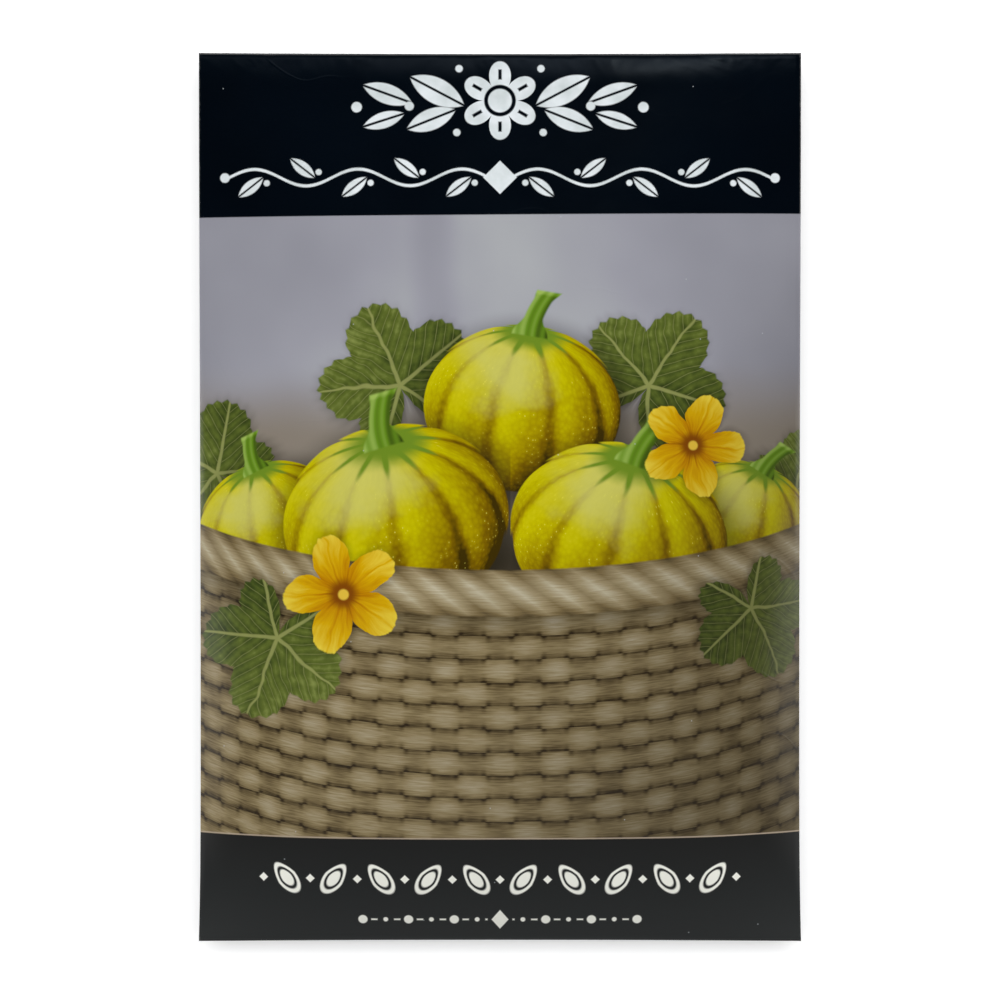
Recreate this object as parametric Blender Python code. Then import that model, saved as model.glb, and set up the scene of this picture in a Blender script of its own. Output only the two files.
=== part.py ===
"""A sealed paper seed packet lying on its back, with the squash seeds that it holds.

Metres, +Z up. X runs across the packet and +Y towards its top edge. The printed front is the upper face.
The origin is under the middle of the packet, on the surface that it lies on.
"""

import math
import random
from itertools import product

import bmesh
import bpy
from mathutils import Matrix, Vector

MM = 0.001

# The packet: one sheet of coated paper, folded and glued
WIDTH = 82.5 * MM
HEIGHT = 121.7 * MM
PAPER = 0.12 * MM
GLUE = 0.06 * MM

# How the filled packet bulges
EDGE_GAP = 0.1 * MM  # left between the sheets at the folded edges
EDGE_LIFT = 1.5 * MM  # the back sheet's edges curl up off the table
FRONT_BULGE = 5.1 * MM  # the front sheet's rise over its edges
BULGE_SHARPNESS = 3.2  # across the packet
FULLEST = -0.5  # where the seeds settle, as a share of half the height
HEEL_SHARPNESS = 3.4  # from the fullest place down to the bottom fold
SHOULDER_SHARPNESS = 0.85  # from the fullest place up to the top fold
FLAT_SIDE = 0.55  # the back lies flat within these shares of half the width and half the height
FLAT_BOTTOM = -0.62
FLAT_TOP = 0.35
LIFT_SHARPNESS = 1.7
SIDE_PULL = 0.25 * MM  # the bulge draws each side fold in this far at the fullest place
END_PULL = 0.15 * MM  # and the middle of the top and bottom folds

# The flaps on the back
TOP_FLAP = 22 * MM
BOTTOM_FLAP = 13 * MM
SIDE_FLAP = 12.5 * MM
FLAP_NICK = 0.8 * MM  # a flap is this much narrower than the packet at its fold
FLAP_TAPER = 5 * MM  # and this much more on each side at its free edge
DRY_STRIP = 5 * MM  # left without glue along the top flap's sides and under its fold
BACK_TOP_SETBACK = 1.5 * MM  # from the top fold down to the back sheet's cut edge
BACK_SIDE_SETBACK = 0.6 * MM  # from the left fold to the back sheet's cut edge

# Cells of the grid that the sheets are cut into
CELLS_ACROSS = 16
CELLS_BOTTOM_FLAP = 4
CELLS_BODY = 20
CELLS_TOP_FLAP = 4

# The seeds: flat, egg-shaped, in two layers in the lower part of the packet
SEED_LENGTH = 12.6 * MM
SEED_WIDTH = 7.6 * MM
SEED_THICKNESS = 2.4 * MM
SEED_TAPER = 0.2  # how much narrower the pointed end is
SEED_SIDES = 16
SEED_RINGS = 6
CLEARANCE = 0.3 * MM
SEED_GAP = 0.45 * MM  # between seeds of one layer
SEED_SUPPORT = 0.9  # a seed's end lies over a lower seed within this share of its half width
LAYERS = ((14, 31, -50, 22), (6, 27, -47, 10))  # seeds, and the field's half width, bottom and top in mm
TRIES = 6000
RANDOM_SEED = 1

PAPER_COLOUR = (0.16, 0.15, 0.12, 1)
SEED_COLOUR = (0.84, 0.76, 0.58, 1)

# Layers of the stack, from the table up
FLAP, GLUE_FILM, BACK, LAP, HOLLOW, FRONT = range(6)


def clear_scene():
    for thing in list(bpy.data.objects):
        bpy.data.objects.remove(thing)


def plain_material(name, colour, roughness):
    material = bpy.data.materials.new(name)
    material.use_nodes = True
    shader = material.node_tree.nodes["Principled BSDF"]
    shader.inputs["Base Color"].default_value = colour
    shader.inputs["Roughness"].default_value = roughness
    shader.inputs["Metallic"].default_value = 0
    return material


def place(name, mesh, material, matrix=None):
    thing = bpy.data.objects.new(name, mesh)
    bpy.context.scene.collection.objects.link(thing)
    if not mesh.materials:
        mesh.materials.append(material)
    if matrix is not None:
        thing.matrix_world = matrix
    return thing


def shares(x, y):
    """How far out a point is, as shares of half the width and half the height."""
    return min(1, abs(x) / (WIDTH / 2)), max(-1, min(1, y / (HEIGHT / 2)))


def fullness(along):
    """How full the packet is at a height, from 0 at its folds to 1 where the seeds settle."""
    if along < FULLEST:
        return 1 - ((FULLEST - along) / (FULLEST + 1)) ** HEEL_SHARPNESS
    shoulder = (1 + math.cos(math.pi * (along - FULLEST) / (1 - FULLEST))) / 2
    return max(0, shoulder) ** SHOULDER_SHARPNESS


def front_height(x, y):
    """The front sheet's outer face: a pillow, fullest low down."""
    across, along = shares(x, y)
    edge = EDGE_LIFT + 3 * PAPER + EDGE_GAP
    return edge + FRONT_BULGE * (1 - across**BULGE_SHARPNESS) * fullness(along)


def back_height(x, y):
    """The back sheet's outer face: flat on the table in the middle, and lifted at its edges."""
    across, along = shares(x, y)
    side = max(0, across - FLAT_SIDE) / (1 - FLAT_SIDE)
    end = max(0, (along - FLAT_TOP) / (1 - FLAT_TOP), (along - FLAT_BOTTOM) / (-1 - FLAT_BOTTOM))
    return EDGE_LIFT * (1 - (1 - side**LIFT_SHARPNESS) * (1 - end**LIFT_SHARPNESS))


def level_height(level, x, y):
    """The height of one of the seven levels that part the six layers of the stack."""
    if level >= FRONT:
        return front_height(x, y) - (FRONT + 1 - level) * PAPER
    back = back_height(x, y)
    if level >= BACK:
        return back + (level - BACK) * PAPER
    return back - GLUE - (GLUE_FILM - level) * PAPER


def drawn_in(x, y):
    """Where the bulge draws a point of the flat sheets to: the four folds bow inwards a little."""
    across, along = shares(x, y)
    inward = SIDE_PULL * fullness(along) * 2 / WIDTH
    upward = END_PULL * (1 - across**2) * 2 / HEIGHT
    return x * (1 - inward), y * (1 - upward)


def flap_inset(y):
    """From a side fold to the side of the flap at this height. Between the flaps it stays the same."""
    top, bottom = (HEIGHT / 2 - y) / TOP_FLAP, (HEIGHT / 2 + y) / BOTTOM_FLAP
    return FLAP_NICK + FLAP_TAPER * min(1, top, bottom)


def steps(start, end, count):
    """Evenly spaced places after start, up to and with end."""
    return [start + (end - start) * (n + 1) / count for n in range(count)]


def row_lines():
    """The grid's lines across the packet, from the bottom fold up, and where the flaps and cut edges are."""
    bottom, top = -HEIGHT / 2, HEIGHT / 2
    lines = [bottom, bottom + PAPER]
    lines += steps(lines[-1], bottom + BOTTOM_FLAP, CELLS_BOTTOM_FLAP)
    marks = {"bottom_flap": len(lines) - 1}
    lines += steps(lines[-1], top - TOP_FLAP, CELLS_BODY)
    marks["top_flap"] = len(lines) - 1
    lines += steps(lines[-1], top - DRY_STRIP, CELLS_TOP_FLAP)
    marks["glue_end"] = len(lines) - 1
    lines.append(top - BACK_TOP_SETBACK)
    marks["back_end"] = len(lines) - 1
    lines += [top - PAPER, top]
    marks["top_fold"] = len(lines) - 2
    return lines, marks


def column_lines(y):
    """The grid's lines up the packet, from the left fold to the right one, at this height."""
    left, right, inset = -WIDTH / 2, WIDTH / 2, flap_inset(y)
    lines = [left, left + PAPER, left + BACK_SIDE_SETBACK, left + inset]
    lines += [left + inset + DRY_STRIP, left + SIDE_FLAP]
    lines += steps(lines[-1], right - inset - DRY_STRIP, CELLS_ACROSS)
    return lines + [right - inset, right - PAPER, right]


# Numbers of the grid's lines: the back's cut edge, a flap's sides, its glue's sides and the side flap
CUT_SIDE, FLAP_LEFT, GLUE_LEFT, LAP_END = 2, 3, 4, 5
GLUE_RIGHT = LAP_END + CELLS_ACROSS
FLAP_RIGHT = GLUE_RIGHT + 1
RIGHT_FOLD = FLAP_RIGHT + 1


def is_paper(column, row, layer, marks, rows):
    """Whether a cell of the stack is paper or glue. The rest is air."""
    if not (0 <= column <= RIGHT_FOLD and 0 <= row < rows and FLAP <= layer <= FRONT):
        return False
    under_flap = FLAP_LEFT <= column < FLAP_RIGHT
    bottom_fold, top_fold = row == 0, row == marks["top_fold"]
    if layer == FRONT or (top_fold and under_flap):
        return True
    if layer in (FLAP, GLUE_FILM):
        on_bottom = row < marks["bottom_flap"]
        on_top = row >= marks["top_flap"]
        if layer == GLUE_FILM:
            on_top = on_top and row < marks["glue_end"] and GLUE_LEFT <= column < GLUE_RIGHT
        return under_flap and (on_bottom or on_top)
    if bottom_fold:
        return True
    if row >= marks["back_end"]:
        return False
    side_fold = column in (0, RIGHT_FOLD)
    if layer == BACK:
        return column >= CUT_SIDE
    if layer == LAP:
        return side_fold or column < LAP_END
    return side_fold


def envelope_mesh():
    """The folded sheet as one closed body: the skin between the stack's paper cells and the air."""
    row_places, marks = row_lines()
    grid = [column_lines(y) for y in row_places]
    rows = len(row_places) - 1
    shape = bmesh.new()
    corners = {}

    def corner(column, row, level):
        key = (column, row, level)
        if key not in corners:
            x, y = grid[row][column], row_places[row]
            corners[key] = shape.verts.new((*drawn_in(x, y), level_height(level, x, y)))
        return corners[key]

    def skin(column, row, layer, step):
        """Two triangles over one side of a cell. Both faces of a sheet are split along the same diagonal."""
        axis = max(range(3), key=lambda n: abs(step[n]))
        first, second = [n for n in range(3) if n != axis]
        base = [column, row, layer]
        base[axis] += step[axis] > 0
        ring = []
        for a, b in ((0, 0), (1, 0), (1, 1), (0, 1)):
            at = list(base)
            at[first] += a
            at[second] += b
            ring.append(corner(*at))
        for triangle in ((ring[0], ring[1], ring[2]), (ring[0], ring[2], ring[3])):
            outward = (step[axis] > 0) != (axis == 1)
            shape.faces.new(triangle if outward else triangle[::-1])

    sides = ((1, 0, 0), (-1, 0, 0), (0, 1, 0), (0, -1, 0), (0, 0, 1), (0, 0, -1))
    for column, row, layer in product(range(RIGHT_FOLD + 1), range(rows), range(FRONT + 1)):
        if not is_paper(column, row, layer, marks, rows):
            continue
        for step in sides:
            beside = (column + step[0], row + step[1], layer + step[2])
            if not is_paper(*beside, marks, rows):
                skin(column, row, layer, step)
    mesh = bpy.data.meshes.new("envelope")
    shape.to_mesh(mesh)
    shape.free()
    return mesh


def seed_mesh():
    """A flat seed, lying along X: an oval that narrows to the end by which it hung in the fruit."""
    shape = bmesh.new()
    bmesh.ops.create_uvsphere(shape, u_segments=SEED_SIDES, v_segments=SEED_RINGS, radius=1)
    for vert in shape.verts:
        along, across, up = vert.co
        vert.co = Vector((
            along * SEED_LENGTH / 2,
            across * SEED_WIDTH / 2 * (1 - SEED_TAPER * max(0, along)),
            up * SEED_THICKNESS / 2,
        ))
    mesh = bpy.data.meshes.new("squash_seed")
    shape.to_mesh(mesh)
    shape.free()
    mesh.shade_smooth()
    return mesh


def spine_ends(seed):
    """The two ends of the line that a seed's rounded outline is drawn round."""
    x, y, turn = seed[:3]
    half = (SEED_LENGTH - SEED_WIDTH) / 2
    reach = Vector((math.cos(turn), math.sin(turn))) * half
    return Vector((x, y)) - reach, Vector((x, y)) + reach


def to_spine(point, ends):
    """The distance from a point to the line between two ends."""
    start, span = ends[0], ends[1] - ends[0]
    share = max(0, min(1, (point - start).dot(span) / span.length_squared))
    return (point - start - span * share).length


def apart(one, other):
    """The distance between two seeds' spines, which don't cross while the seeds are clear of each other."""
    first, second = spine_ends(one), spine_ends(other)
    return min(
        *(to_spine(point, second) for point in first),
        *(to_spine(point, first) for point in second),
    )


def rim_spots(x, y):
    """Places round a seed's outline, however it is turned, and its middle."""
    reach = SEED_LENGTH / 2
    turns = [n * math.pi / 4 for n in range(8)]
    return [(x, y)] + [(x + reach * math.cos(turn), y + reach * math.sin(turn)) for turn in turns]


def is_held_up(seed, below):
    """Whether both ends of a seed lie over seeds of the layer below."""
    reach = SEED_WIDTH / 2 * SEED_SUPPORT
    spines = [spine_ends(other) for other in below]
    return all(any(to_spine(end, spine) < reach for spine in spines) for end in spine_ends(seed))


def underside(seed, below):
    """How low a seed can lie: on the inside of the back sheet, or on the seeds that it crosses."""
    floor = max(back_height(*spot) for spot in rim_spots(*seed[:2])) + 2 * PAPER + CLEARANCE
    crossed = [other for other in below if apart(seed, other) < SEED_WIDTH]
    tops = [height + SEED_THICKNESS / 2 + CLEARANCE for *_, height in crossed]
    return max([floor, *tops])


def scatter(count, half_width, bottom, top, below, draw):
    """Seeds of one layer as (x, y, turn, height), dropped at random and kept where they have room."""
    layer = []
    for _ in range(TRIES):
        if len(layer) == count:
            break
        x, y = draw.uniform(-half_width, half_width), draw.uniform(bottom, top)
        seed = (x, y, draw.uniform(0, 2 * math.pi))
        if any(math.dist((x, y), other[:2]) < SEED_WIDTH + SEED_GAP for other in layer):
            continue
        if any(apart(seed, other) < SEED_WIDTH + SEED_GAP for other in layer):
            continue
        if below and not is_held_up(seed, below):
            continue
        low = underside(seed, below)
        ceiling = min(front_height(*spot) for spot in rim_spots(x, y)) - PAPER - CLEARANCE
        if low + SEED_THICKNESS < ceiling:
            layer.append((*seed, low + SEED_THICKNESS / 2))
    return layer


def seeds(material):
    draw = random.Random(RANDOM_SEED)
    mesh = seed_mesh()
    below, number = [], 0
    for count, half_width, bottom, top in LAYERS:
        layer = scatter(count, half_width * MM, bottom * MM, top * MM, below, draw)
        for x, y, turn, height in layer:
            number += 1
            matrix = Matrix.Translation((x, y, height)) @ Matrix.Rotation(turn, 4, "Z")
            place(f"seed_{number:02d}", mesh, material, matrix)
        below = layer


def main():
    clear_scene()
    place("envelope", envelope_mesh(), plain_material("coated_paper", PAPER_COLOUR, 0.25))
    seeds(plain_material("seed_coat", SEED_COLOUR, 0.5))


main()
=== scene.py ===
import math
from functools import partialmethod

import bmesh
import bpy
import numpy as np
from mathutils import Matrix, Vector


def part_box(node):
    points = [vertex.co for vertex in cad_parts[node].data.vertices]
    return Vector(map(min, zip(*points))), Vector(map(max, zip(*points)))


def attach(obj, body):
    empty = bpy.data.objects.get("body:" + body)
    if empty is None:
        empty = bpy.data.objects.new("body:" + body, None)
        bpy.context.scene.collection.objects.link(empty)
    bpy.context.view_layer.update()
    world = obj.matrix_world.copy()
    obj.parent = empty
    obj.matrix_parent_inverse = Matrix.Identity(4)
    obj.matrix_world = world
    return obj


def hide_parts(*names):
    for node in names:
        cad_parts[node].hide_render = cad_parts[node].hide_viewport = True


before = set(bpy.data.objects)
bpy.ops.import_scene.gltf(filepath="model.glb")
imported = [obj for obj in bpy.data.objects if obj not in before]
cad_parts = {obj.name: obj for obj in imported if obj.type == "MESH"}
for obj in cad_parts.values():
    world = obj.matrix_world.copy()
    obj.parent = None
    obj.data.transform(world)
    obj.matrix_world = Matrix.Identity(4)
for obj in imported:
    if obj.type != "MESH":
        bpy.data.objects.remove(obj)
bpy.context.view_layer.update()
MM = 0.001

# The view: a close phone shot from straight above the packet, a little below its middle.
# The packet takes up as much of the frame as it does in the photo, and lies as far above its middle.
PHOTO_WIDTH, PACKET_WIDTH, PACKET_RISE = 1000, 603, 3  # in pixels
low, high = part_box("envelope")
WIDTH, HEIGHT = high[0] - low[0], high[1] - low[1]
EDGE_HEIGHT = 1.96 * MM  # the printed face's height at its folds
FRAME_WIDTH = WIDTH * PHOTO_WIDTH / PACKET_WIDTH
CAMERA_DISTANCE = 190 * MM
SENSOR = 36

lens = bpy.data.cameras.new("photo_view")
lens.sensor_width = SENSOR
lens.lens = SENSOR * CAMERA_DISTANCE / FRAME_WIDTH
lens.clip_start = 10 * MM
camera = bpy.data.objects.new("photo_view", lens)
camera.location = (0, -FRAME_WIDTH * PACKET_RISE / PHOTO_WIDTH, EDGE_HEIGHT + CAMERA_DISTANCE)
bpy.context.scene.collection.objects.link(camera)
bpy.context.scene.camera = camera

# The seeds: flat squash seeds with a raised rim, loose in the packet, dried to a hard cream coat.
# Each lies where its CAD solid lies, with its pointed end at the same side, and is a little thinner.
SEED_SIDES, SEED_RINGS = 40, 9
SEED_SHRINK = 0.97
FACE_SHARPNESS, SEED_TAPER = 2.6, 0.2  # how square the faces meet the edge, and how far the tip narrows
RIM_PLACE, RIM_WIDTH = 0.86, 0.09  # where the rim's crest runs, as a share of the way out
RIM_SHARE = 0.16  # the rim's height as a share of the seed's
LIGHT_LEVEL = 0.9  # how bright the studio light shows a colour, as a share of what it is


class Field:
    """A value that changes over a surface. A sum on it adds Math nodes to its node tree."""

    def __init__(self, socket):
        self.socket = socket

    def math(self, operation, *others, clamp=False):
        return calculate(operation, self, *others, clamp=clamp)

    def __rsub__(self, other):
        return calculate("SUBTRACT", other, self)

    __add__ = __radd__ = partialmethod(math, "ADD")
    __sub__ = partialmethod(math, "SUBTRACT")
    __mul__ = __rmul__ = partialmethod(math, "MULTIPLY")
    __truediv__ = partialmethod(math, "DIVIDE")
    __pow__ = partialmethod(math, "POWER")
    __neg__ = partialmethod(math, "MULTIPLY", -1.0)
    __abs__ = partialmethod(math, "ABSOLUTE")
    max, min = partialmethod(math, "MAXIMUM"), partialmethod(math, "MINIMUM")
    above, below = partialmethod(math, "GREATER_THAN"), partialmethod(math, "LESS_THAN")
    sin, cos = partialmethod(math, "SINE"), partialmethod(math, "COSINE")
    root, angle = partialmethod(math, "SQRT"), partialmethod(math, "ARCTAN2")
    floor, modulo = partialmethod(math, "FLOOR"), partialmethod(math, "FLOORED_MODULO")
    zigzag = partialmethod(math, "PINGPONG")


def tree_of(value):
    """The node tree that a field or a socket is in."""
    return (value.socket if isinstance(value, Field) else value).id_data


def calculate(operation, *values, clamp=False):
    tree = tree_of(next(value for value in values if isinstance(value, Field)))
    node = add_node(tree, "ShaderNodeMath", {"operation": operation, "use_clamp": clamp})
    for entry, value in zip(node.inputs, values):
        join(value, entry)
    return Field(node.outputs[0])


def join(value, entry):
    """Links a field or a socket to an input, or sets a plain value on it."""
    if isinstance(value, Field):
        value = value.socket
    if isinstance(value, bpy.types.NodeSocket):
        entry.id_data.links.new(value, entry)
    else:
        entry.default_value = value


def feed(node, **values):
    """Sets or links a node's inputs by name."""
    for name, value in values.items():
        join(value, node.inputs[name.replace("_", " ")])


def add_node(tree, kind, settings=None, **values):
    """A node of that kind, with its settings, and its inputs set or linked by name."""
    node = tree.nodes.new(kind)
    node.location.x = 170 * len(tree.nodes)
    for name, value in (settings or {}).items():
        setattr(node, name, value)
    feed(node, **values)
    return node


def new_group(name, inputs, outputs, kind="ShaderNodeTree"):
    """An empty node group with named sockets, and its inner input and output nodes."""
    tree = bpy.data.node_groups.new(name, kind)
    for way, sockets in (("INPUT", inputs), ("OUTPUT", outputs)):
        for socket, form in sockets.items():
            tree.interface.new_socket(socket, in_out=way, socket_type=f"NodeSocket{form}")
    return tree, tree.nodes.new("NodeGroupInput"), tree.nodes.new("NodeGroupOutput")


def run_nodes(piece, tree, **values):
    """Gives a piece the plain mesh that a Geometry Nodes tree makes of it."""
    step = piece.modifiers.new(tree.name, "NODES")
    step.node_group = tree
    sockets = [item for item in tree.interface.items_tree if item.item_type == "SOCKET"]
    names = {item.name: item.identifier for item in sockets}
    for name, value in values.items():
        step[names[name.replace("_", " ")]] = value
    bpy.context.view_layer.update()
    depsgraph = bpy.context.evaluated_depsgraph_get()
    mesh = bpy.data.meshes.new_from_object(
        piece.evaluated_get(depsgraph), preserve_all_data_layers=True, depsgraph=depsgraph
    )
    piece.modifiers.remove(step)
    piece.data = mesh
    mesh.name = piece.name


def new_piece(name, mesh):
    piece = bpy.data.objects.new(name, mesh)
    bpy.context.scene.collection.objects.link(piece)
    return piece


def finished(name, **plain):
    """A new material with its tree and its shader node, plain values set on the shader's own sockets."""
    material = bpy.data.materials.new(name)
    material.use_nodes = True
    shader = material.node_tree.nodes["Principled BSDF"]
    feed(shader, **plain)
    return material, material.node_tree, shader


def ink(red, green, blue):
    """The paint that looks like this screen colour, 0 to 255, in the studio light."""
    shares = (value / 255 for value in (red, green, blue))
    linear = (s / 12.92 if s < 0.04045 else ((s + 0.055) / 1.055) ** 2.4 for s in shares)
    return (*(value / LIGHT_LEVEL for value in linear), 1)


def noise(place, scale, detail=2.0, distortion=0.0):
    """Cloudy noise from 0 to 1, scale in spots to the millimetre."""
    look = {"Scale": scale, "Detail": detail, "Distortion": distortion}
    return Field(add_node(place.id_data, "ShaderNodeTexNoise", Vector=place, **look).outputs["Fac"])


def blend(below, above, share, form="Color"):
    """The upper colour, or vector, laid over the lower one, by a share from 0 to 1."""
    node = add_node(tree_of(share), "ShaderNodeMix", {"data_type": "RGBA" if form == "Color" else "VECTOR"})
    ends = {socket.identifier: socket for socket in (*node.inputs, *node.outputs)}
    for name, value in (("Factor_Float", share), (f"A_{form}", below), (f"B_{form}", above)):
        join(value, ends[name])
    return ends[f"Result_{form}"]


def ramp(value, *stops):
    """A colour by a value from 0 to 1. A stop is a place and its screen colour."""
    node = add_node(tree_of(value), "ShaderNodeValToRGB", Fac=value)
    marks = node.color_ramp.elements
    while len(marks) < len(stops):
        marks.new(0.5)
    for mark, (place, *colour) in zip(marks, stops):
        mark.position, mark.color = place, ink(*colour)
    return node.outputs["Color"]


def ease(value, start, end):
    """A smooth step from 0 at start to 1 at end."""
    look = {"interpolation_type": "SMOOTHSTEP"}
    node = add_node(tree_of(value), "ShaderNodeMapRange", look, Value=value, From_Min=start, From_Max=end)
    return Field(node.outputs["Result"])


def bumped(height, strength, depth):
    """The surface's normal, tilted by a height field that is worth depth in metres."""
    node = add_node(tree_of(height), "ShaderNodeBump", Strength=strength, Distance=depth, Height=height)
    return node.outputs["Normal"]


def place_of(tree):
    """The piece's own coordinates, in millimetres."""
    spot = add_node(tree, "ShaderNodeTexCoord").outputs["Object"]
    return add_node(tree, "ShaderNodeMapping", Vector=spot, Scale=(1 / MM,) * 3).outputs["Vector"]


def one_seed(length, width, thickness):
    """A seed lying along X. Its broad faces dip inside the rim, and +X is its pointed end."""
    shape = bmesh.new()
    rings = []
    for side in (1, -1):
        for n in range(1, SEED_RINGS + 1):
            reach = n / SEED_RINGS
            if side < 0 and n == SEED_RINGS:
                continue
            rise = (1 - reach**FACE_SHARPNESS) ** 0.5 * (1 - RIM_SHARE)
            rise += RIM_SHARE * math.exp(-(((reach - RIM_PLACE) / RIM_WIDTH) ** 2))
            ring = []
            for k in range(SEED_SIDES):
                turn = 2 * math.pi * k / SEED_SIDES
                along, across = reach * math.cos(turn), reach * math.sin(turn)
                taper = 1 - SEED_TAPER * max(0, along)
                z = 0 if n == SEED_RINGS else side * rise * thickness / 2
                ring.append(shape.verts.new((along * length / 2, across * width / 2 * taper, z)))
            rings.append((side, n, ring))
    tops = [ring for side, n, ring in rings if side > 0]
    bottoms = [ring for side, n, ring in rings if side < 0] + [tops[-1]]
    for stack, up in ((tops, True), (bottoms, False)):
        middle = shape.verts.new((0, 0, (1 if up else -1) * (1 - RIM_SHARE) * thickness / 2))
        for inner, outer in zip([None, *stack[:-1]], stack):
            for k in range(SEED_SIDES):
                j = (k + 1) % SEED_SIDES
                face = [outer[k], outer[j]] + ([middle] if inner is None else [inner[j], inner[k]])
                shape.faces.new(face if up else face[::-1])
    mesh = bpy.data.meshes.new("one_seed")
    shape.to_mesh(mesh)
    shape.free()
    mesh.shade_smooth()
    return mesh


def lie_of(node):
    """Where a CAD seed lies: its middle, its turn about Z and its length, width and thickness."""
    points = np.array([vert.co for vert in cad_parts[node].data.vertices])
    middle = (points.max(axis=0) + points.min(axis=0)) / 2
    flat = np.unique(np.round(points[:, :2], 6), axis=0) - middle[:2]
    values, ways = np.linalg.eigh(flat.T @ flat)
    along = ways[:, values.argmax()]
    reach = flat @ along
    aside = flat @ np.array((-along[1], along[0]))
    half = reach.max() / 2
    if np.ptp(aside[reach > half * 0.9]) > np.ptp(aside[reach < -half * 0.9]):
        along = -along
    sizes = (np.ptp(reach), np.ptp(aside), np.ptp(points[:, 2]))
    return middle, math.atan2(along[1], along[0]), sizes


def seed_coat():
    material, tree, shader = finished("dried_seed_coat", Specular_IOR_Level=0.35)
    place = place_of(tree)
    spots = noise(place, 0.5, 4)
    fine = noise(place, 3.0, 3)
    cream = ramp(spots, (0.3, 205, 186, 140), (0.5, 226, 211, 170), (0.75, 238, 228, 196))
    coat = blend(cream, ink(176, 150, 104), ease(fine, 0.55, 0.8) * 0.5)
    feed(shader, Base_Color=coat, Roughness=fine * 0.2 + 0.42, Normal=bumped(fine, 0.3, 0.05 * MM))
    return material


def dress(geometry, start, end):
    """Ends a geometry tree: real meshes, in the finish that the tree is given."""
    tree = end.id_data
    real = add_node(tree, "GeometryNodeRealizeInstances", Geometry=geometry).outputs["Geometry"]
    dressed = add_node(tree, "GeometryNodeSetMaterial", Geometry=real, Material=start.outputs["Finish"])
    feed(end, Geometry=dressed.outputs["Geometry"])


seed_names = sorted(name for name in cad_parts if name.startswith("seed_"))
lies = [lie_of(name) for name in seed_names]
seed_size = [SEED_SHRINK * size for size in lies[0][2]]
pattern = new_piece("seed_pattern", one_seed(*seed_size))
pattern.hide_render = True

spots = bpy.data.meshes.new("loose_seeds")
spots.from_pydata([tuple(middle) for middle, turn, size in lies], [], [])
turns = spots.attributes.new("turn", "FLOAT", "POINT")
turns.data.foreach_set("value", [turn for middle, turn, size in lies])
loose_seeds = new_piece("loose_seeds", spots)

entries = {"Geometry": "Geometry", "Seed": "Object", "Size Spread": "Float", "Random Seed": "Int"}
entries["Finish"] = "Material"
tree, start, end = new_group("lay_seeds", entries, {"Geometry": "Geometry"}, "GeometryNodeTree")
seed = add_node(tree, "GeometryNodeObjectInfo", Object=start.outputs["Seed"]).outputs["Geometry"]
turn = add_node(tree, "GeometryNodeInputNamedAttribute", {"data_type": "FLOAT"}, Name="turn")
lying = add_node(tree, "ShaderNodeCombineXYZ", Z=turn.outputs["Attribute"]).outputs["Vector"]
spread = add_node(tree, "FunctionNodeRandomValue", {"data_type": "FLOAT"}, Seed=start.outputs["Random Seed"])
smallest, largest = [entry for entry in spread.inputs if entry.type == "VALUE"][:2]
join(1 - Field(start.outputs["Size Spread"]), smallest)
join(1.0, largest)
scale = next(way for way in spread.outputs if way.type == "VALUE")
laid = add_node(tree, "GeometryNodeInstanceOnPoints", Points=start.outputs["Geometry"], Instance=seed)
feed(laid, Rotation=lying, Scale=scale)
dress(laid.outputs["Instances"], start, end)
run_nodes(loose_seeds, tree, Seed=pattern, Size_Spread=0.08, Random_Seed=3, Finish=seed_coat())
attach(loose_seeds, "root")
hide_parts(*seed_names)

# The front: the middle panel of the die-cut sheet, clay-coated paper that is printed and varnished.
# Its four folds turn half way round here, and the seeds below push it up into a pillow.
PAPER = 0.12 * MM
GLUE = 0.06 * MM
EDGE_GAP = 0.1 * MM
EDGE_LIFT = 1.5 * MM
LEFT_FOLD = (2 * PAPER + EDGE_GAP) / 2  # the folds' outer radii: one sheet turns round what lies between
RIGHT_FOLD = (3 * PAPER + EDGE_GAP) / 2
END_FOLD = (4 * PAPER + GLUE + EDGE_GAP) / 2
BULGE = high[2] - EDGE_HEIGHT
BULGE_SHARPNESS = 3.2
FULLEST = -0.5
HEEL_SHARPNESS, SHOULDER_SHARPNESS = 3.4, 0.85
SIDE_PULL, END_PULL = 0.25 * MM, 0.15 * MM
FOLD_STEPS = 4
MESH_STEP = 0.62 * MM
SEED_RELIEF = 0.22 * MM  # how far the sheet sinks between the seeds
SEED_REACH, SEED_FREE = 0.3 * MM, 4.5 * MM  # the sheet sinks between these distances from a seed
RIPPLE = 0.12 * MM  # shallow waves left by handling, strongest near the folds
RIPPLES_ACROSS, RIPPLES_ALONG = 110.0, 65.0  # to the metre
folds = {
    "Width": WIDTH, "Height": HEIGHT, "Left Fold": LEFT_FOLD, "Right Fold": RIGHT_FOLD, "End Fold": END_FOLD,
    "Side Pull": SIDE_PULL, "End Pull": END_PULL, "Fullest": FULLEST,
}


def run_up(start, stop, step):
    """Evenly spaced places from start to stop, both included."""
    count = max(1, round((stop - start) / step))
    return [start + (stop - start) * n / count for n in range(count + 1)]


def fold_arc(edge, radius, side):
    """Places on the flat sheet along a quarter turn of a fold, from its crest to where it starts, or back."""
    arc = [edge - radius + radius * math.pi / 2 * n / FOLD_STEPS for n in range(FOLD_STEPS, 0, -1)]
    return [side * place for place in arc] if side < 0 else arc[::-1]


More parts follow.
